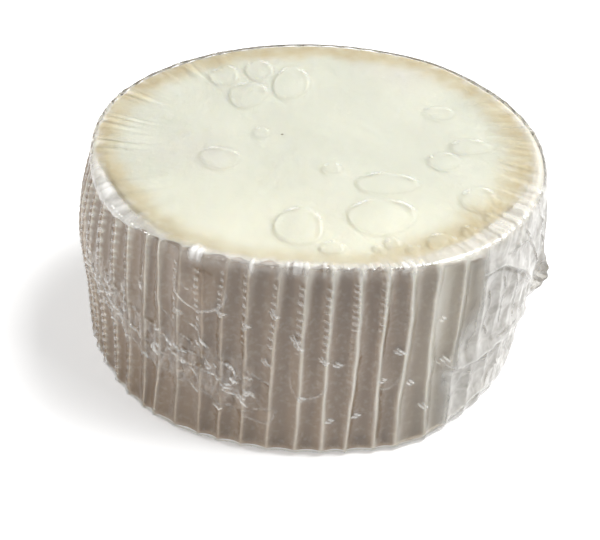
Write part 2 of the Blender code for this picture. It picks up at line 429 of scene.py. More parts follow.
print("paste radius:", round(min(size for _, size in PASTE_EDGE), 1), "mm at the least")


# %% [markdown]
# The rind is white on the ridges, and the flutes between them are painted brown: that brown
# is painted shade. The white runs down the flanks and widens towards the rim, and it reaches
# further over the right flanks where light falls on them, which is painted light. On the left
# it breaks up into beads, painted highlights with painted shade between them, and where film
# lies over it in many layers it is hard to see. Under the slack film on the right the rind is
# painted darker as shade too.

# %% White ridges and painted shade in the flutes
FAINT_RIDGES = ((246, 13, 0.75), (262, 10, 0.4))      # angle, half angle, fainter by
BEAD_PITCH = 1.7 * MM


def bead_zone(angle):
    """Where the ridges are beaded, on the left."""
    return lobe(angle, 207, 19)


def bead_wave(angle, height):
    """0 between the beads of a ridge and 1 on them."""
    count = np.floor(ridge_count(angle, height) + 0.35)
    turns = height / BEAD_PITCH + 0.37 * count + 0.25 * slow_noise(angle, height, 47, 20, 9.0)
    return smooth_step(-0.25, 0.6, np.cos(2 * math.pi * turns))


def bridged(angle, height):
    """1 where one large blister hides the flutes, high on the left."""
    return lobe(angle, -116, 6.5) * smooth_step(27.0 * MM, 30.0 * MM, height)


def flute_shade(angle, height):
    """1 where the flutes are painted brown as shade, 0 on the white ridges, which widen upwards."""
    phase = ridge_phase(angle, height)
    turn = signed(angle)
    upper = smooth_step(25.0 * MM, 38.0 * MM, height)
    flare = smooth_step(35.0 * MM, 39.8 * MM, height) ** 2
    lower = 1.0 - smooth_step(4.0 * MM, 13.0 * MM, height)
    # painted light: the white reaches further over the right flanks where the light falls on them
    lit_flank = 0.62 * plateau(turn, -76.0, -56.0, 40.0, 60.0)
    right_flank = smooth_step(0.02 + 0.03 * upper + 0.08 * flare,
                              0.12 + 0.18 * upper + 0.15 * flare + 0.06 * lower + lit_flank, phase)
    left_flank = smooth_step(0.01 + 0.08 * flare, 0.09 + 0.05 * lower + 0.15 * flare, 1.0 - phase)
    faint = sum_of_lobes(angle, FAINT_RIDGES)
    hidden = bridged(angle, height) * (1.0 - flare)
    veiled = 0.45 * lobe(angle, 220, 16) * (1.0 - smooth_step(20.0 * MM, 26.0 * MM, height))
    ridge = (1.0 - right_flank * left_flank) * (1.0 - faint) * (1.0 - hidden)
    ridge = ridge * (1.0 - 0.35 * lower) * (1.0 - veiled)
    # painted highlights on the beads, with painted shade between them
    beads = bead_zone(angle) * (1.0 - bead_wave(angle, height)) * 0.85
    # painted shade: the rind is darker under the slack film on the right
    shade_behind_film = 0.7 * plateau(turn, -50.0, -44.0, 30.0, 50.0)
    brown = np.maximum(1.0 - ridge * (1.0 - beads), shade_behind_film)
    return brown * smooth_step(0.15, 0.6, below_cap(angle, height))


shade_sample = flute_shade(np.linspace(-100.0, -80.0, 400), np.full(400, 20.0 * MM))
print("halfway up in front,", round(float(shade_sample.mean()), 2), "of the rind is brown")


# %% [markdown]
# Five masks, stored on the vertices, tell the material where the rind, the ripened ring and
# the painted shade of the flutes begin, where that painted shade is warmer, and how near the
# front the paste lies. The ring is wider in some places than in others. The material's own
# noise then breaks up the edges of the masks.

# %% Masks of the cheese
RING_WIDTH = 5.5 * MM
RING_WIDER = (       # angle, half angle, added width
    (150, 30, 1.5 * MM),
    (5, 45, 2.5 * MM),
    (95, 35, 2.0 * MM),
    (300, 25, 1.0 * MM),
    (235, 20, 0.5 * MM),
)
RING_STRENGTH = ((263, 32, -0.40), (95, 40, 0.45))    # angle, half angle, stronger by

paste_edge = paste_radius(c_angle) + 0.25 * MM * slow_noise(c_angle, c_height * 0, 11, 60, 9.0)
paste_edge = paste_edge - 0.35 * MM * np.cos(2 * math.pi * ridge_phase(c_angle, c_height))
rind = smooth_step(paste_edge - 0.4 * MM, paste_edge + 0.4 * MM, c_radius + FILM_GAP)
rind = np.maximum(rind, 1.0 - smooth_step(HEIGHT - 1.1 * MM, HEIGHT - 0.6 * MM, c_height))
ring_width = RING_WIDTH + sum_of_lobes(c_angle, RING_WIDER)
ring_width = ring_width + 1.2 * MM * slow_noise(c_angle, c_height * 0, 12, 24, 9.0)
ripe = smooth_step(paste_edge - 1.15 * ring_width, paste_edge - 0.15 * ring_width, c_radius + FILM_GAP)
ripe = ripe * (1.0 + sum_of_lobes(c_angle, RING_STRENGTH))
past_rim = smooth_step(CHEESE_RADIUS - 0.95 * RIM_ROUND, CHEESE_RADIUS - 0.6 * RIM_ROUND, c_radius)
_, c_y = flat_place(c_angle, c_radius)
add_mask(cheese, "rind", rind)
add_mask(cheese, "ripe", ripe * c_top)
# painted shade in the flutes
add_mask(cheese, "floor", flute_shade(c_angle, c_height) * past_rim)
# painted shade: warmer and darker taupe in front and on the left
add_mask(cheese, "warm_shade", plateau(c_angle % 360.0, 150, 185, 286, 305))
add_mask(cheese, "front", smooth_step(-5.0 * MM, -38.0 * MM, c_y))
print("rind on", round(float((rind > 0.5).mean()), 2), "of the vertices")

# %% [markdown]
# Nodes are linked so often that a small helper pays off. It makes a node, sets its sockets
# and links what it is given.

# %% A helper for shader nodes
def new_material(name):
    """Empty material and its node tree."""
    material = bpy.data.materials.new(name)
    material.use_nodes = True
    tree = material.node_tree
    tree.nodes.clear()
    return material, tree


def node(tree, kind, settings=None, **sockets):
    """Add a node; an output socket given for an input is linked, anything else is its value."""
    made = tree.nodes.new(kind)
    for key, value in (settings or {}).items():
        setattr(made, key, value)
    for key, value in sockets.items():
        socket = made.inputs[int(key[1:])] if key[1:].isdigit() else made.inputs[key.replace("_", " ")]
        if isinstance(value, bpy.types.NodeSocket):
            tree.links.new(value, socket)
        else:
            socket.default_value = value
    return made


def mix_colours(tree, share, first, second):
    """Colour between two colours."""
    made = node(tree, "ShaderNodeMix", {"data_type": "RGBA"}, i0=share, i6=first, i7=second)
    return made.outputs[2]


def mask_value(tree, name):
    """A mask that is stored on the vertices."""
    return node(tree, "ShaderNodeAttribute", {"attribute_name": name}).outputs["Fac"]


def calculate(tree, operation, first, second=0.0, clamp=False):
    """One Math node."""
    settings = {"operation": operation, "use_clamp": clamp}
    return node(tree, "ShaderNodeMath", settings, i0=first, i1=second).outputs[0]


def noise_value(tree, place, scale, detail=2.0, roughness=0.5):
    """Noise from 0 to 1."""
    made = node(tree, "ShaderNodeTexNoise", None, Vector=place, Scale=scale, Detail=detail,
                Roughness=roughness)
    return made.outputs["Fac"]


print("the helper makes nodes such as", bpy.types.ShaderNodeMath.bl_rna.name)

# %% [markdown]
# Fresh goat cheese lets a little light in, so the paste has some subsurface scattering. Two
# slow noises make it cooler or pinker from place to place. The yellow ring is streaked
# towards the middle, and the rind is white, with painted shade in the flutes: taupe in front
# and on the left, grey elsewhere. One small brown speck sits in the paste.

# %% The cheese material
PASTE = (0.83, 0.83, 0.74, 1.0)
PASTE_COOL = (0.755, 0.765, 0.685, 1.0)
PASTE_PINK = (0.79, 0.765, 0.71, 1.0)
PASTE_FRONT = (0.865, 0.86, 0.755, 1.0)
RING = (0.75, 0.69, 0.51, 1.0)
RING_DARK = (0.65, 0.56, 0.37, 1.0)
RIND = (0.84, 0.81, 0.73, 1.0)
# painted shade colours for the flutes: taupe in front and on the left, grey elsewhere
SHADE_TAUPE = (0.385, 0.273, 0.176, 1.0)
SHADE_GREY = (0.56, 0.49, 0.385, 1.0)
SPECK = (-5.2 * MM, 2.6 * MM, 39.7 * MM)
SPECK_RADIUS = 0.3 * MM
SPECK_BROWN = (0.30, 0.27, 0.20, 1.0)


def cheese_material():
    """Ivory paste, ripened ring and white rind."""
    material, tree = new_material("goat_cheese_paste_and_rind")
    place = node(tree, "ShaderNodeTexCoord").outputs["Object"]
    cloud = noise_value(tree, place, 60.0, 3.0)
    blush = noise_value(tree, place, 38.0, 1.0)
    grain = noise_value(tree, place, 900.0, 3.0, 0.6)
    paste = mix_colours(tree, cloud, PASTE, PASTE_COOL)
    pink = calculate(tree, "MULTIPLY", calculate(tree, "SUBTRACT", blush, 0.5, True), 2.2, True)
    paste = mix_colours(tree, pink, paste, PASTE_PINK)
    paste = mix_colours(tree, mask_value(tree, "front"), paste, PASTE_FRONT)
    streaks = noise_value(tree, place, 260.0, 2.0)
    ring = mix_colours(tree, streaks, RING, RING_DARK)
    ripe = calculate(tree, "MULTIPLY", mask_value(tree, "ripe"), calculate(tree, "ADD", streaks, 0.42), True)
    top = mix_colours(tree, ripe, paste, ring)
    away = node(tree, "ShaderNodeVectorMath", {"operation": "DISTANCE"}, i0=place, i1=SPECK).outputs["Value"]
    speck = calculate(tree, "LESS_THAN", away, SPECK_RADIUS)
    top = mix_colours(tree, speck, top, SPECK_BROWN)
    floor = mask_value(tree, "floor")
    warm_shade = mask_value(tree, "warm_shade")
    # painted shade in the flutes, laid over the white rind
    flute = mix_colours(tree, warm_shade, SHADE_GREY, SHADE_TAUPE)
    side = mix_colours(tree, floor, RIND, flute)
    ragged = calculate(tree, "SUBTRACT", grain, 0.5)
    rind_edge = calculate(tree, "ADD", mask_value(tree, "rind"), ragged, True)
    colour = mix_colours(tree, rind_edge, top, side)
    bump = node(tree, "ShaderNodeBump", None, Strength=0.25, Distance=0.0002, Height=grain)
    shader = node(tree, "ShaderNodeBsdfPrincipled", None, Base_Color=colour, Roughness=0.55,
                  Normal=bump.outputs[0])
    shader.inputs["Subsurface Weight"].default_value = 0.25
    shader.inputs["Subsurface Radius"].default_value = (1.0, 0.8, 0.5)
    shader.inputs["Subsurface Scale"].default_value = 0.002
    node(tree, "ShaderNodeOutputMaterial", None, Surface=shader.outputs[0])
    return material


cheese.data.materials.append(cheese_material())
cheese.data.shade_smooth()
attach(cheese, "root")
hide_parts("wrapped_cheese")
print("cheese material:", cheese.data.materials[0].name)

# %% [markdown]
# Shrink film pulls tight over everything, so it copies the flutes, but wherever air or
# slack is left it stands off. Blisters are flat domes with a crisp edge, so each one is a
# low dome inside a thin raised rim, and its outline is a little ragged. Two masks go with
# them: a painted shadow line, mostly on the nearer side, and short painted glints on the far side.

# %% Blisters in the film
TOP_BLISTERS = (   # x, y, half width, half depth, rise, all in mm
    (11.8, -25.4, 6.1, 5.8, 0.45),
    (13.1, -14.3, 5.6, 4.0, 0.45),
    (-2.7, -29.5, 4.2, 6.2, 0.42),
    (-18.2, -7.8, 3.7, 4.1, 0.40),
    (-10.8, 2.5, 1.8, 2.2, 0.20),
    (3.0, -9.9, 2.0, 1.9, 0.22),
    (24.3, -5.4, 3.2, 3.3, 0.35),
    (30.0, 0.4, 4.1, 3.1, 0.30),
    (29.9, -18.7, 3.5, 4.5, 0.40),
    (24.8, 13.7, 3.0, 3.0, 0.22),
    (22.1, -32.7, 2.9, 2.5, 0.30),
    (3.1, -36.3, 2.3, 2.4, 0.28),
    (-14.3, 18.1, 4.0, 5.4, 0.30),
    (-5.6, 24.4, 3.8, 7.6, 0.30),
    (-19.8, 26.2, 3.0, 4.8, 0.25),
    (-12.6, 29.4, 3.0, 4.8, 0.25),
    (13.5, -33.7, 1.6, 1.7, 0.25),
    (11.0, -35.6, 1.1, 1.0, 0.20),
    (16.9, -35.3, 1.3, 1.2, 0.20),
    (27.0, -29.0, 1.4, 1.6, 0.22),
    (31.5, -24.5, 1.3, 1.3, 0.20),
)


BLISTER_RIM = 0.35     # half width in mm


def blister_field(x, y):
    """Height of the blisters over the cut face, a mask of their painted shadow line and one of the painted
    glints on them.
    """
    rise = np.zeros_like(x)
    edge = np.zeros_like(x)
    glint = np.zeros_like(x)
    for index, (cx, cy, half_x, half_y, high) in enumerate(TOP_BLISTERS):
        across = (x / MM - cx) / half_x
        along = (y / MM - cy) / half_y
        turn = np.arctan2(along, across)
        ragged = 1.0 + 0.05 * np.sin(2 * turn + index) + 0.035 * np.sin(3 * turn + 2.1 * index)
        reach = np.hypot(across, along) / ragged
        thin = BLISTER_RIM / min(half_x, half_y)
        dome = 0.28 * high * MM * np.clip(1.0 - reach ** 2, 0.0, 1.0) ** 0.8
        rise = np.maximum(rise, dome + 0.07 * MM * bell(reach, 1.0 - thin, 1.2 * thin))
        # painted shadow line at the outline, strongest on the nearer side
        nearer = 0.25 + 0.75 * smooth_step(0.4, -0.4, np.sin(turn))
        edge = np.maximum(edge, nearer * bell(reach, 1.0, 0.8 * thin))
        # painted glints: short arcs on the far side
        arcs = smooth_step(0.1, 0.5, np.sin(turn)) * np.sin(2 * turn + 0.8 * math.sin(7.0 * index)) ** 4
        glint = np.maximum(glint, high / 0.45 * arcs * bell(reach, 1.0 - thin, 0.8 * thin))
    return rise, edge, glint


print(len(TOP_BLISTERS), "blisters on the cut face")

# %% [markdown]
# At the rim the film is gathered in hundreds of tiny pleats, because a flat sheet has to
# turn down round a circle. They are irregular and stand in clusters, so they come from
# random heights spread round the circle and joined smoothly. On the left and the right the
# pleats run on over the cut face as long wrinkles, and below the rim they brush down over
# the smooth caps at a slant.

# %% Pleats and wrinkles
FINE_PLEATS = 720


def round_profile(angle, count, seed, sharp=1.0):
    """Irregular hills round the piece, from 0 to 1: count of them, joined smoothly."""
    draw = np.random.default_rng(seed).uniform(0.0, 1.0, count) ** sharp
    spot = (angle % 360.0) / 360.0 * count
    first = np.floor(spot).astype(int) % count
    share = spot - np.floor(spot)
    share = share * share * (3.0 - 2.0 * share)
    return draw[first] * (1.0 - share) + draw[(first + 1) % count] * share


def top_wrinkles(angle, radius):
    """Long wrinkles that run in from the rim on the left and on the right."""
    swing = angle + 2.0 * np.sin(radius / (6.0 * MM))
    left = lobe(angle, 175, 38) * smooth_step(28.0 * MM, 39.5 * MM, radius)
    right = lobe(angle, 5, 30) * smooth_step(33.0 * MM, 40.0 * MM, radius)
    length = round_profile(angle, 90, 24)
    reach = smooth_step(0.15, 0.85, length)
    hills = round_profile(swing, 150, 21, 2.4) * 0.7 + round_profile(swing, 330, 22, 1.6) * 0.35
    return (left * (0.2 + 0.8 * reach) + 0.7 * right) * hills * 0.62 * MM


def rim_streaks(angle):
    """Fine pleats at the rim, gathered in clusters: 0 between them and 1 on a crest."""
    cluster = smooth_step(0.35, 0.75, round_profile(angle, 80, 35))
    streak = 0.6 * round_profile(angle, FINE_PLEATS, 31, 1.4) + 0.4 * round_profile(angle, 400, 32, 1.2)
    return (0.25 + 0.75 * cluster) * streak


def cap_brush(angle, height):
    """Slanted brush strokes on the caps, from 0 to 1."""
    slanted = angle + 4.0 * (HEIGHT - height) / (5.0 * MM)
    return 0.65 * round_profile(slanted, 260, 33, 1.5) + 0.35 * round_profile(slanted, 620, 34, 1.2)


def rim_pleats(angle, height, radius):
    """Tiny pleats where the film turns down at the rim, longer over the caps left and right."""
    length = (0.9 + 1.0 * round_profile(angle, 210, 36)) * MM
    from_rim = np.hypot(radius - 44.0 * MM, height - 39.4 * MM)
    near_rim = bell(from_rim, 0.0, length) * (1.0 - 0.85 * lobe(angle, 75, 70))
    cap = smooth_step(HEIGHT - 1.1 * cap_height(angle), HEIGHT - 0.6 * cap_height(angle), height)
    cap = cap * np.maximum(lobe(angle, 209, 20), lobe(angle, 325, 32))
    cap = cap * smooth_step(-0.4 * MM, 0.6 * MM, radius - paste_radius(angle))
    stronger = 1.0 + 0.8 * lobe(angle, 303, 16)
    pleats = near_rim * rim_streaks(angle) * stronger * 0.34
    return np.maximum(pleats, 0.42 * cap * cap_brush(angle, height)) * MM


print("about", round(2 * math.pi * CUT_FACE_RADIUS / FINE_PLEATS / MM, 2), "mm between pleats")

# %% [markdown]
# A few long creases cross the ridges of the side. A crease is a soft wall along a route of
# angle and height, and its cross-section is a narrow bell. Its crest is painted as a highlight,
# and a thin painted shadow line goes with it, just below the crest.

# %% Creases
CREASES = (        # rise in mm, half width in mm, then the route: angle, height in mm
    (0.35, 0.26, ((-47.8, 9.8), (-46.3, 11.6), (-44.1, 12.5), (-40.4, 12.6))),
    (0.35, 0.26, ((-49.0, 12.0), (-46.0, 13.0), (-41.0, 13.4), (-36.0, 12.8))),
    (0.40, 0.28, ((-41.0, 4.5), (-39.5, 7.0), (-36.0, 8.1), (-31.0, 8.8))),
    (0.26, 0.26, ((-41.2, 31.2), (-40.0, 28.4), (-40.1, 24.0), (-39.0, 19.9))),
    (0.30, 0.26, ((-49.4, 33.6), (-48.7, 30.8), (-48.8, 27.1), (-49.2, 22.4), (-50.5, 18.0))),
    (0.26, 0.26, ((-45.6, 29.5), (-45.0, 26.0), (-46.0, 22.6), (-44.5, 19.5))),
    (0.30, 0.26, ((-36.0, 30.0), (-34.5, 26.0), (-34.8, 22.0), (-33.0, 18.5))),
    (0.30, 0.24, ((-20.0, 16.6), (-27.0, 17.0), (-32.0, 16.6), (-37.0, 16.9), (-42.0, 17.2))),
    (0.40, 0.30, ((-41.0, 36.2), (-38.0, 36.4), (-34.2, 36.1), (-30.0, 35.0))),
    (0.30, 0.26, ((-24.0, 27.0), (-26.5, 31.0), (-30.0, 34.5), (-33.0, 38.0))),
    (0.30, 0.26, ((-16.0, 26.0), (-18.5, 30.0), (-22.0, 34.0), (-24.0, 37.5))),
    (0.45, 0.40, ((-154, 23.5), (-141, 20.2), (-133, 17.5), (-126, 16.2), (-117, 16.8), (-109, 15.8))),
    (0.35, 0.30, ((-147, 25.5), (-138, 22.5), (-130, 21.4), (-123, 18.5), (-114, 19.5))),
    (0.35, 0.30, ((-150, 19.0), (-139, 16.2), (-131, 13.0), (-124, 12.6))),
    (0.35, 0.24, ((-120, 14.0), (-115, 11.9), (-110.5, 9.6))),
    (0.16, 0.24, ((-110.5, 9.6), (-106, 8.9), (-101, 9.6), (-97, 11.0))),
    (0.35, 0.24, ((-110, 19.6), (-107, 17.6), (-103.5, 15.9))),
    (0.25, 0.24, ((-126, 25.5), (-121, 22.5), (-116, 20.5))),
    (0.30, 0.24, ((-103.5, 18.6), (-101.0, 16.6), (-98.2, 16.2))),
)


def distance_to_route(angle, height, route):
    """Distance in metres along the side to the nearest point of a route."""
    across = np.radians(angle) * RIDGE_RADIUS
    nearest = np.full_like(angle, 1.0)
    for (angle_a, high_a), (angle_b, high_b) in zip(route, route[1:]):
        ax, ay = math.radians(angle_a) * RIDGE_RADIUS, high_a * MM
        bx, by = math.radians(angle_b) * RIDGE_RADIUS, high_b * MM
        length = (bx - ax) ** 2 + (by - ay) ** 2
        share = np.clip(((across - ax) * (bx - ax) + (height - ay) * (by - ay)) / length, 0.0, 1.0)
        away = np.hypot(across - ax - share * (bx - ax), height - ay - share * (by - ay))
        nearest = np.minimum(nearest, away)
    return nearest


def crease_field(angle, height):
    """Lift of all creases, a mask of their crests, painted as highlights, and one of the painted shadow line
    below each.
    """
    lift = np.zeros_like(angle)
    crest = np.zeros_like(angle)
    shade = np.zeros_like(angle)
    wander = angle + 0.35 * slow_noise(angle, height, 41, 60, 6.0)
    for rise, half_width, route in CREASES:
        away = distance_to_route(wander, height, route)
        below = distance_to_route(wander, height + 1.3 * half_width * MM, route)
        lift = np.maximum(lift, rise * MM * np.exp(-np.abs(away / (half_width * MM)) ** 1.4))
        line = 0.55 * half_width * MM
        crest = np.maximum(crest, bell(away, 0.0, line))
        shade = np.maximum(shade, bell(below, 0.0, line))
    return lift, crest, shade


print(len(CREASES), "creases")


# %% [markdown]
# A fold is wider than a crease and overhangs: its lip is a painted highlight with a painted
# shadow line below, and it fades upwards. Whatever else the film does is calmed round a fold,
# because the film is pulled straight there.

# %% Folds
FOLDS = (          # rise in mm, how far it fades upwards in mm, then the route: angle, height in mm
    (1.30, 2.2, ((-58, 16.8), (-54, 15.5), (-51, 14.9), (-45, 15.0), (-40, 15.2), (-35, 15.4),
                 (-30, 15.0), (-24, 13.9), (-17, 12.6))),
    (0.70, 2.6, ((-51, 33.4), (-49, 34.2), (-45.5, 34.6), (-43, 34.4), (-41, 33.6), (-37, 31.6),
                 (-32.5, 29.0), (-27.5, 25.0), (-20, 20.0))),
    (0.60, 2.2, ((-55, 2.0), (-52, 2.7), (-50, 3.3), (-47, 3.9), (-44, 4.1), (-40, 3.4), (-35, 2.2))),
)


def fold_field(angle, height):
    """Film that overhangs along a route: its lift, its lip painted as a highlight, the painted shadow line
    below and its surroundings.
    """
    lift = np.zeros_like(angle)
    lip = np.zeros_like(angle)
    shade = np.zeros_like(angle)
    around = np.zeros_like(angle)
    for rise, fade, route in FOLDS:
        turns, levels = zip(*route)
        wander = 0.12 * slow_noise(angle, height * 0, 45, 60, 6.0)
        above = height / MM - np.interp(angle, turns, levels) - wander
        ends = plateau(angle, turns[0] - 1.0, turns[0] + 5.0, turns[-1] - 4.0, turns[-1])
        profile = np.where(above > 0.0, np.exp(-above / fade), bell(above, 0.0, 0.32))
        lift = np.maximum(lift, rise * MM * profile * ends)
        lip = np.maximum(lip, bell(above, 0.1, 0.28) * ends)
        shade = np.maximum(shade, bell(above, -0.85, 0.50) * ends)
        around = np.maximum(around, bell(above, 0.3, 2.2) * ends)
    return lift, lip, shade, around


print(len(FOLDS), "folds, up to", max(rise for rise, _, _ in FOLDS), "mm high")


# %% [markdown]
# Along the left flank of each ridge the film bunches in short puckers, like the rungs of a
# ladder. Each ridge has its own number from 0 to 1, which sets how close its rungs are and
# how far down they reach. On the left the puckers give way to beads on the ridges.

# %% Puckers beside the ridges
def pucker_field(angle, height):
    """Lift of the short puckers beside the ridges and a mask of their crests, which are painted white as
    highlights.
    """
    count = ridge_count(angle, height)
    phase = count % 1.0
    draw = np.sin(np.floor(count) * 12.9898 + 4.0) * 43758.5453    # one number for each ridge
    draw = draw - np.floor(draw)
    beads = bead_zone(angle)
    beside = plateau(phase, 0.74, 0.80, 0.94, 0.99)
    rungs = np.cos(2 * math.pi * (height / (1.2 + 0.3 * draw) / MM + 7.0 * draw)
                   + 0.8 * slow_noise(angle, height, 43, 40, 5.0))
    crest = smooth_step(0.0, 0.85, rungs)
    start = (31.0 - 6.0 * draw) * MM
    upper = plateau(height, start - 4.0 * MM, start, 37.0 * MM, 38.5 * MM)
    lower = 0.35 * (1.0 - draw) * smooth_step(3.0 * MM, 6.0 * MM, height)
    fewer = 1.0 - 0.8 * smooth_step(-79, -66, signed(angle))
    ladder = beside * np.maximum(upper, lower) * crest * (1.0 - beads) * fewer
    on_ridge = bell((phase + 0.5) % 1.0, 0.5, 0.15)
    bead = beads * on_ridge * bead_wave(angle, height)
    clear = below_cap(angle, height)
    return (0.22 * ladder + 0.24 * bead) * MM * clear, (0.95 * ladder + 1.4 * bead) * clear


pucker_sample, _ = pucker_field(np.linspace(-100.0, -80.0, 400), np.full(400, 34.0 * MM))
print("puckers in front rise", round(float(pucker_sample.max()) / MM, 2), "mm")


# %% [markdown]
# Where the film catches on a ridge it makes a tick, a short double fold. The crumpled band
# on the left is full of such strokes, each with a slant and a bend of its own. They are
# drawn at random from a fixed seed, so every run gives the same ones.

# %% Ticks and strokes
TICKS = (          # angle, height in mm
    (-97.9, 31.0), (-92.9, 26.2), (-92.0, 25.0), (-86.0, 22.1), (-82.8, 20.9), (-72.1, 16.8),
    (-64.8, 14.4), (-104.0, 28.0), (-110.0, 29.5), (-121.0, 27.0), (-133.0, 27.5), (-139.0, 25.0),
    (-90.5, 13.6), (-77.5, 9.0), (-68.8, 22.5), (-58.6, 27.5), (-61.0, 8.5), (-99.0, 20.5),
    (-104.5, 12.5), (-83.5, 8.2), (-56.5, 17.8),
)
LEFT_BAND = ((-160, 25.5), (-141, 20.0), (-129, 17.5), (-116, 16.0), (-104, 15.0))
BAND_STROKES = 70
STROKE_WIDTH = 0.17      # half width in mm


def band_strokes():
    """Random short folds along the crumpled band on the left: place, slant, bend and half length."""
    draw = np.random.default_rng(71)
    turns, levels = zip(*LEFT_BAND)
    strokes = []
    for _ in range(BAND_STROKES):
        centre = -158.0 + 58.0 * draw.uniform(0.0, 1.0)
        level = np.interp(centre, turns, levels) + draw.normal(0.0, 3.2)
        slant = draw.normal(-14.0, 20.0)
        bend = draw.uniform(-0.20, 0.20)
        strokes.append((centre, level, slant, bend, draw.uniform(0.5, 1.6)))
    return strokes


def stroke_shape(angle, height, stroke, offset=0.0):
    """Bell across a short curved fold, offset to one side in mm."""
    centre, level, tilt, bend, half_length = stroke
    across = np.radians(angle - centre) * RIDGE_RADIUS / MM
    along = height / MM - level
    slant = math.radians(tilt)
    length = across * math.cos(slant) + along * math.sin(slant) + 0.4 * offset
    width = -across * math.sin(slant) + along * math.cos(slant) - bend * length ** 2 + offset
    return np.exp(-(length / half_length) ** 4 - (width / STROKE_WIDTH) ** 2)


def tick_field(angle, height):
    """Lift of the ticks and strokes, which is also the mask of their crests, painted white as highlights."""
    crest = np.zeros_like(angle)
    for index, (centre, level) in enumerate(TICKS):
        stroke = (centre, level, -38.0 + 9.0 * math.sin(5.0 * index), 0.10, 0.85)
        crest = np.maximum(crest, stroke_shape(angle, height, stroke))
        crest = np.maximum(crest, 0.8 * stroke_shape(angle, height, stroke, 0.62))
    for stroke in band_strokes():
        crest = np.maximum(crest, stroke_shape(angle, height, stroke))
    return 0.30 * MM * crest, crest


print(len(TICKS), "ticks and", len(band_strokes()), "strokes")


# %% [markdown]
# The side has a few low blisters too, where the film bridges two or three flutes. Their
# thin outline is strongest on the lower half.

# %% Blisters on the side
SIDE_BLISTERS = (  # angle, height in mm, half angle, half height in mm, rise in mm
    (-116.0, 33.0, 6.6, 4.4, 0.50),
    (-118.5, 34.6, 2.1, 2.0, 0.25),
    (-89.5, 18.0, 4.2, 5.2, 0.25),
    (-100.5, 10.0, 4.0, 3.4, 0.25),
    (-71.0, 18.5, 3.0, 4.5, 0.25),
    (-57.0, 20.0, 2.2, 3.5, 0.30),
    (-120.0, 14.8, 3.6, 3.0, 0.35),
)


def side_blister_field(angle, height):
    """Low domes where the film bridges a few flutes."""
    rise = np.zeros_like(angle)
    edge = np.zeros_like(angle)
    for centre, level, half_angle, half_height, high in SIDE_BLISTERS:
        across = signed(angle - centre) / half_angle
        along = (height - level * MM) / (half_height * MM)
        reach = np.hypot(across, along)
        rise = np.maximum(rise, high * MM * np.clip(1.0 - reach ** 2, 0.0, 1.0) ** 0.8)
        strength = 1.3 * high * smooth_step(0.6, -0.7, along)
        edge = np.maximum(edge, strength * bell(reach, 1.0, 0.05))
    return rise, edge


print(len(SIDE_BLISTERS), "side blisters")

# %% [markdown]
# Slack film does not bend softly: it breaks into flat facets with sharp folds between them.
# The largest of several tilted zigzag waves, each one bent a little, gives such facets.

# %% Facets of crumpled film
CRUMPLE_WAVES = 5
LEFT_CRUMPLE = (51, 2.6)     # seed, size of the facets in mm


def crumple(angle, height, seed, size):
    """Facets from 0 to 1 with sharp folds, size in mm."""
    draw = np.random.default_rng(seed)
    across = np.radians(angle) * RIDGE_RADIUS / MM
    along = height / MM
    facets = np.zeros_like(angle)
    for _ in range(CRUMPLE_WAVES):
        turn = draw.uniform(0.0, math.pi)
        length = size * draw.uniform(0.8, 1.7)
        spot = (across * math.cos(turn) + along * math.sin(turn)) / length + draw.uniform(0.0, 1.0)
        sideways = (across * math.sin(turn) - along * math.cos(turn)) / (1.6 * length)
        bend = np.sin(sideways + draw.uniform(0, 6))
        zigzag = np.abs(2.0 * ((spot + 0.35 * bend) % 1.0) - 1.0)
        facets = np.maximum(facets, zigzag * draw.uniform(0.75, 1.0))
    return (facets - 0.55) / 0.45


facet_sample = crumple(np.linspace(-60, 40, 500), np.full(500, 20.0 * MM), *LEFT_CRUMPLE)
print("facets run from", facet_sample.min().round(2), "to", facet_sample.max().round(2))


# %% [markdown]
# The film is crumpled along a band on the left and finely round the far right. Before that,
# on the right, it hangs slack in broad facets, and its seam ends in a small gathered ear.

# %% The band, the slack side and the ear
EAR_ANGLE = -12.5
EAR_LEVEL = 17.2         # the ear's sizes are in mm
EAR_HALF_WIDTH = 2.7
EAR_HALF_HEIGHT = 5.4
EAR_REACH = 3.9 * MM


def left_band(angle, height):
    """Where the crumpled band lies on the left."""
    away = distance_to_route(angle, height, LEFT_BAND)
    return np.exp(-(away / (5.2 * MM)) ** 4) * plateau(angle, -166, -152, -106, -99)


def right_side(angle, height):
    """Where the film hangs slack on the right, a little further round low down."""
    start = np.interp(height / MM, (9.0, 14.0, 21.0, 28.0, 34.0), (-56.0, -57.0, -53.0, -49.0, -49.5))
    return smooth_step(-2.5, 3.0, angle - start) * (1.0 - smooth_step(38, 56, angle))


def ear_shape(angle, height):
    """1 in the middle of the ear of film where the seam ends on the right, 0 away from it."""
    away = np.radians(angle - EAR_ANGLE) * RIDGE_RADIUS / MM
    level = height / MM - EAR_LEVEL
    across = np.exp(-np.abs(away / EAR_HALF_WIDTH) ** 1.7)
    return across * np.exp(-np.abs(level / EAR_HALF_HEIGHT) ** 2.2)


def crumple_field(angle, height):
    """Lift of the crumpled zones and of the ear."""
    left = left_band(angle, height) * 0.42 * MM * crumple(angle, height, *LEFT_CRUMPLE)
    facets = 0.38 * MM * crumple(angle, height, 52, 9.0) + 0.08 * MM * crumple(angle, height, 53, 3.4)
    right = right_side(angle, height) * facets * (1.0 - 0.6 * smooth_step(33.0 * MM, 37.5 * MM, height))
    beyond = lobe(angle, -20, 11) * smooth_step(23.0 * MM, 27.0 * MM, height)
    right = right + beyond * 0.16 * MM * crumple(angle, height, 54, 2.0)
    ear = ear_shape(angle, height)
    gather = 0.95 + 0.05 * np.cos(2 * math.pi * height / (2.4 * MM))
    gather = gather + 0.03 * crumple(angle, height, 55, 1.5)
    return left + right * (1.0 - 0.8 * ear) + EAR_REACH * ear * gather


print("the ear stands out", round(EAR_REACH / MM, 1), "mm at", EAR_LEVEL, "mm above the floor")

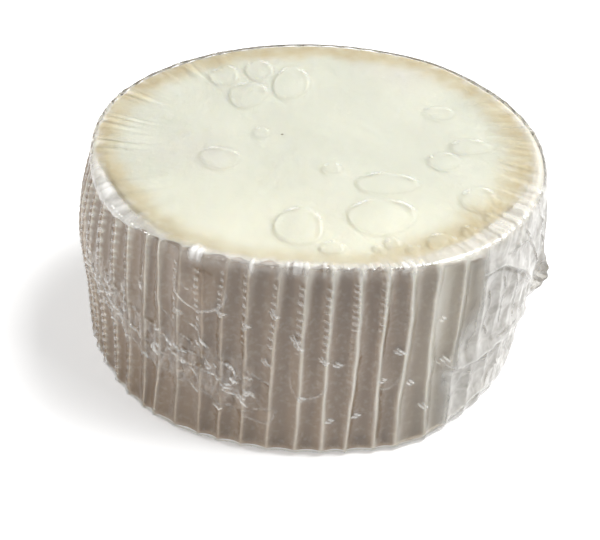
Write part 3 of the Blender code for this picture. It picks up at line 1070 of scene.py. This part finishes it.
# %% [markdown]
# Now all of this is put together. Film follows the flutes nearly to their floor, but it
# bridges them where it is slack, at the folds and over the large blister on the left. On
# top of that come the forms that lift it.

# %% How the film lies
FILM_FOLLOWS = 0.94                                   # share of the flutes' depth
FILM_BRIDGES = ((330, 20, 0.75), (241, 7, 0.45))      # angle, half angle, share that is bridged


def film_depth(angle, height):
    """Flutes as the film follows them."""
    turn = signed(angle)
    depth = FILM_FOLLOWS * flute_depth(angle, height)
    for centre, half_angle, share in FILM_BRIDGES:
        depth = depth * (1.0 - share * lobe(angle, centre, half_angle))
    _, _, _, around = fold_field(turn, height)
    depth = depth * (1.0 - 0.9 * bridged(angle, height)) * (1.0 - 0.8 * around)
    return depth * (1.0 - 0.55 * left_band(turn, height))


def on_cut_face(radius):
    """1 inside the flat cut face, 0 towards the rim."""
    return 1.0 - smooth_step(39.5 * MM, 41.5 * MM, radius)


def film_lift(angle, height, radius, zone):
    """Everything that stands off the plain drum, on the wall or on the top."""
    turn = signed(angle)
    pleats = rim_pleats(angle, height, radius)
    if zone == "wall":
        creases, _, _ = crease_field(turn, height)
        folds, _, _, around = fold_field(turn, height)
        creases = (creases * (1.0 - around) + folds) * (1.0 - 0.9 * ear_shape(turn, height))
        blisters, _ = side_blister_field(turn, height)
        puckers, _ = pucker_field(angle, height)
        ticks, _ = tick_field(turn, height)
        loose = np.maximum(creases, blisters) + crumple_field(turn, height) * (1.0 - 0.7 * around)
        calm = 1.0 - 0.8 * left_band(turn, height)
        return loose + calm * puckers + ticks + pleats
    x, y = flat_place(angle, radius)
    blisters, _, _ = blister_field(x, y)
    slack = np.sin(x / (4.1 * MM) + 2.0 * np.sin(y / (9.0 * MM))) * np.sin(y / (5.3 * MM) + 0.7)
    return (blisters + 0.06 * MM * slack) * on_cut_face(radius) + top_wrinkles(angle, radius) + pleats


film_sample = film_depth(np.array([-88.9]), np.array([20.0 * MM]))
print("film reaches", round(float(film_sample[0]) / MM, 2), "mm into a flute in front")


# %% [markdown]
# One drum is built for the film and taken apart into front and back, side and top, which
# keeps each piece light. Then all four are bent by the same functions, so their borders
# still meet.

# %% The film
FILM_COLUMNS = 1440
FILM_ROWS = (8, 104, 3, 88, 6)


def split_off(obj, name, wanted):
    """Separate the faces that pass a test into a new object."""
    open_for_editing(obj)
    pick_faces(obj, wanted)
    bpy.ops.mesh.separate(type="SELECTED")
    bpy.ops.object.mode_set(mode="OBJECT")
    part = next(other for other in bpy.context.selected_objects if other is not obj)
    part.name = name
    part.data.name = name
    return part


def is_top(middle, normal):
    """Whether a face lies in the upper face of the drum."""
    return middle.z > HEIGHT - TINY


def is_back(middle, normal):
    """Whether a face lies in the back half."""
    return middle.y > 0.0


film_side_front = divided_drum("film_side_front", RIDGE_RADIUS, HEIGHT, 0.0,
                               FILM_COLUMNS, RIM_ROUND, FOOT_HEIGHT, FILM_ROWS)
film_top_front = split_off(film_side_front, "film_top_front", is_top)
film_side_back = split_off(film_side_front, "film_side_back", is_back)
film_top_back = split_off(film_top_front, "film_top_back", is_back)
films = (film_side_front, film_side_back, film_top_front, film_top_back)
zones = {obj.name: bend_drum(obj, 0.0, film_depth, drum_offset, film_lift) for obj in films}
print({obj.name: len(obj.data.polygons) for obj in films}, "faces")

# %% [markdown]
# Film that is bunched in many layers stops being clear and turns milky: at the rim, on the
# caps, on the crumpled band and over the whole right side. The same mask paints highlights in
# that white: on the crests of all the small folds, on the clusters of rim pleats, and as a thin
# glint on each blister. A second mask marks what is darker: painted shadow lines at the outline
# of each blister and below a crease or a fold, and the film of the ear and the right side, which
# light crosses several times. A third one tells the material where the film is crushed into
# facets that are finer than the mesh.

# %% Masks of the film
MOST_HAZE = 0.9

for obj in films:
    angle, height, radius, wall, top = zones[obj.name]
    turn = signed(angle)
    ear = ear_shape(turn, height)
    _, outline, glint = blister_field(*flat_place(angle, radius))
    _, side_outline = side_blister_field(turn, height)
    _, crest, shade = crease_field(turn, height)
    _, lip, fold_shade, _ = fold_field(turn, height)
    _, pucker_crest = pucker_field(angle, height)
    _, tick_crest = tick_field(turn, height)
    slack = right_side(turn, height)
    band = left_band(turn, height)
    # painted shadow lines below creases and folds
    dark_line = np.maximum(0.7 * shade, fold_shade)
    rim = bell(np.hypot(radius - 44.2 * MM, height - 39.5 * MM), 0.0, 1.2 * MM)
    cap = smooth_step(HEIGHT - cap_height(angle), HEIGHT - 0.5 * cap_height(angle), height)
    cap = cap * np.maximum(wall, smooth_step(0.0, 0.9 * MM, radius - paste_radius(angle)))
    caps = np.maximum(lobe(angle, 210, 17), 0.45 * lobe(angle, 330, 28))
    # at the rim the white is partly milky film and partly painted highlight on the pleat clusters
    clusters = 0.05 + 0.40 * lobe(angle, 266, 28) + 0.75 * smooth_step(0.30, 0.80, rim_streaks(angle))
    milky = rim * clusters * (1.0 - 0.7 * lobe(angle, 75, 70))
    milky = np.maximum(milky, cap * caps * (0.45 + 0.55 * cap_brush(angle, height)))
    milky = np.maximum(milky, 0.40 * wall * slack * (1.0 - 0.85 * ear))
    milky = np.maximum(milky, 0.22 * wall * band * np.clip(crumple(turn, height, *LEFT_CRUMPLE), 0, 1))
    milky = milky * (1.0 - 0.85 * dark_line * wall)
    # painted highlights: the white on crests of creases, lips of folds, ticks and puckers stands in for
    # glints
    milky = np.maximum(milky, wall * np.maximum(0.28 * crest, 0.80 * lip))
    milky = np.maximum(milky, wall * np.maximum(0.90 * tick_crest, 0.70 * side_outline))
    milky = np.maximum(milky, 0.40 * wall * pucker_crest * (1.0 - slack))
    inside = on_cut_face(radius) * top
    # painted glints on the blisters
    milky = np.maximum(milky, 0.65 * glint * inside)
    add_mask(obj, "haze", np.clip(milky, 0.0, MOST_HAZE))
    tinted = wall * np.maximum(ear ** 0.5, 0.50 * slack)
    # painted shadow lines at blister outlines and below creases and folds, with the darker film of the ear
    # and the right side
    add_mask(obj, "edge", np.maximum(0.28 * outline * inside + dark_line * wall, tinted))
    add_mask(obj, "crushed", wall * np.maximum(slack, 0.7 * band))
    print(obj.name, "has a haze of", round(float(milky.mean()), 2), "on average")

# %% [markdown]
# Clear film is nearly all seen by what it reflects. Its material lets light straight through
# and reflects more of it at a glancing angle, which is what the Fresnel node works out. A
# film reflects at both of its faces, so it gets a higher index than one face has. Two
# scales of bump add the creases that are finer than the mesh. Where the film is crushed,
# the borders of irregular cells are added to the bump: they look like flat facets that
# meet in sharp lines, and the larger borders are a little milky.

# %% The film material
FILM_IOR = 1.62
MILK_DARK = (0.50, 0.49, 0.46, 1.0)
MILK_LIGHT = (0.95, 0.94, 0.92, 1.0)
FILM_CLEAR = (0.97, 0.97, 0.965, 1.0)
FILM_DARKER = (0.62, 0.605, 0.565, 1.0)
GLOSS_WHITE = (1.0, 1.0, 1.0, 1.0)
CELL_BEND = (6.0 * MM, 6.0 * MM, 6.0 * MM)
BORDER_WIDTH = 0.035


def noise_colour(tree, place, scale):
    """Noise with its own value for X, Y and Z."""
    return node(tree, "ShaderNodeTexNoise", None, Vector=place, Scale=scale, Detail=1.0).outputs["Color"]


def cell_borders(tree, place, scale):
    """Distance to the borders of irregular cells, 0 on a border."""
    settings = {"feature": "DISTANCE_TO_EDGE"}
    return node(tree, "ShaderNodeTexVoronoi", settings, Vector=place, Scale=scale).outputs[0]


def film_material():
    """Clear shrink film, milky where it bunches."""
    material, tree = new_material("clear_shrink_film")
    place = node(tree, "ShaderNodeTexCoord").outputs["Object"]
    ripple = noise_value(tree, place, 420.0, 2.0, 0.55)
    fine = noise_value(tree, place, 1500.0, 1.0)
    relief = calculate(tree, "ADD", ripple, calculate(tree, "MULTIPLY", fine, 0.20))
    crushed = mask_value(tree, "crushed")
    bent = node(tree, "ShaderNodeVectorMath", {"operation": "MULTIPLY_ADD"},
                i0=noise_colour(tree, place, 180.0), i1=CELL_BEND, i2=place).outputs[0]
    broad = cell_borders(tree, bent, 170.0)
    small = cell_borders(tree, bent, 420.0)
    facets = calculate(tree, "ADD", broad, calculate(tree, "MULTIPLY", small, 0.5))
    crushed_twice = calculate(tree, "MULTIPLY", crushed, 2.0)
    relief = calculate(tree, "ADD", relief, calculate(tree, "MULTIPLY", facets, crushed_twice))
    bump = node(tree, "ShaderNodeBump", None, Strength=0.30, Distance=0.0003, Height=relief)
    # FILM_DARKER tints the painted shadow lines, and the film of the ear and the right side
    tint = mix_colours(tree, mask_value(tree, "edge"), FILM_CLEAR, FILM_DARKER)
    clear = node(tree, "ShaderNodeBsdfTransparent", None, Color=tint)
    gloss = node(tree, "ShaderNodeBsdfAnisotropic", None, Color=GLOSS_WHITE, Roughness=0.12,
                 Normal=bump.outputs[0])
    bend = node(tree, "ShaderNodeFresnel", None, IOR=FILM_IOR, Normal=bump.outputs[0])
    skin = node(tree, "ShaderNodeMixShader", None, i0=bend.outputs[0], i1=clear.outputs[0],
                i2=gloss.outputs[0])
    cloud = noise_value(tree, place, 320.0, 2.0, 0.6)
    white = mix_colours(tree, cloud, MILK_DARK, MILK_LIGHT)
    milk = node(tree, "ShaderNodeBsdfDiffuse", None, Color=white, Normal=bump.outputs[0])
    # the haze mask is milky film and also painted highlights in white
    haze = calculate(tree, "MULTIPLY", mask_value(tree, "haze"), calculate(tree, "ADD", cloud, 0.5), True)
    border = calculate(tree, "LESS_THAN", broad, BORDER_WIDTH)
    line = calculate(tree, "MULTIPLY", border, calculate(tree, "MULTIPLY", crushed, 0.05))
    haze = calculate(tree, "ADD", haze, line, True)
    body = node(tree, "ShaderNodeMixShader", None, i0=haze, i1=skin.outputs[0], i2=milk.outputs[0])
    node(tree, "ShaderNodeOutputMaterial", None, Surface=body.outputs[0])
    return material


clear_film = film_material()
for obj in films:
    obj.data.materials.append(clear_film)
    obj.data.shade_smooth()
    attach(obj, "root")
    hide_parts("wrapped_cheese")
print("film material:", clear_film.name)

# %% [markdown]
# A large white floor bounces light back to the front of the piece, and it glows a little so
# that it stays white. One broad softbox hangs high at the right, so that it lights the right
# flank of every ridge and leaves the flutes in front in shade. Three small bright panels
# add hardly any light: they are there for the glints on the folds of the film.

# %% Floor and lights
PAPER = (0.86, 0.86, 0.86, 1.0)
PAPER_GLOW = 0.28
SKY_STRENGTH = 0.27

bpy.ops.mesh.primitive_plane_add(size=6.0, location=(0.0, 0.0, 0.0))
floor = bpy.context.object
floor.name = "floor"
paper, paper_tree = new_material("white_floor")
paper_shader = node(paper_tree, "ShaderNodeBsdfPrincipled", None, Base_Color=PAPER, Roughness=1.0)
paper_shader.inputs["Emission Color"].default_value = (1.0, 1.0, 1.0, 1.0)
paper_shader.inputs["Emission Strength"].default_value = PAPER_GLOW
node(paper_tree, "ShaderNodeOutputMaterial", None, Surface=paper_shader.outputs[0])
floor.data.materials.append(paper)

LIGHTS = (   # name, place in metres, width, depth, power in watts
    ("right_softbox", (1.11, 0.22, 1.64), 1.2, 1.2, 60.0),
    ("left_front_panel", (-0.43, -0.50, 0.27), 0.06, 0.06, 0.7),
    ("left_back_panel", (-0.62, 0.05, 0.34), 0.12, 0.12, 1.6),
    ("right_front_panel", (0.55, -0.42, 0.27), 0.05, 0.05, 0.5),
)
TARGET = Vector((0.0, 0.0, 0.02))
for name, place, width, depth, power in LIGHTS:
    bpy.ops.object.light_add(type="AREA", location=place)
    lamp = bpy.context.object
    lamp.name = name
    lamp.data.shape = "RECTANGLE"
    lamp.data.size = width
    lamp.data.size_y = depth
    lamp.data.energy = power
    lamp.rotation_euler = (TARGET - Vector(place)).to_track_quat("-Z", "Y").to_euler()

world = bpy.data.worlds.new("studio")
world.use_nodes = True
sky = world.node_tree.nodes["Background"]
sky.inputs["Color"].default_value = (1.0, 1.0, 1.0, 1.0)
sky.inputs["Strength"].default_value = SKY_STRENGTH
bpy.context.scene.world = world
bpy.context.scene.view_settings.view_transform = "Standard"
print(len(LIGHTS), "lights")

# %% [markdown]
# The camera stands 25 centimetres away and looks down by 36 degrees, so the cut face shows
# as a wide ellipse. A portrait lens keeps the sides of the drum nearly straight.

# %% Camera
CAMERA_PLACE = Vector((0.00086, -0.195504, 0.151140))
CAMERA_LOOK = Vector((-0.008339, 0.808799, -0.588026))
CAMERA_UP = Vector((-0.025675, 0.587680, 0.808686))
bpy.ops.object.camera_add(location=CAMERA_PLACE)
camera = bpy.context.object
camera.name = "camera"
camera_right = CAMERA_LOOK.cross(CAMERA_UP).normalized()
turn_matrix = Matrix((camera_right, CAMERA_UP, -CAMERA_LOOK)).transposed()
camera.matrix_world = Matrix.Translation(CAMERA_PLACE) @ turn_matrix.to_4x4()
camera.data.lens = 69.3
camera.data.sensor_width = 36.0
bpy.context.scene.camera = camera
print("camera distance", round(CAMERA_PLACE.length, 3), "m")
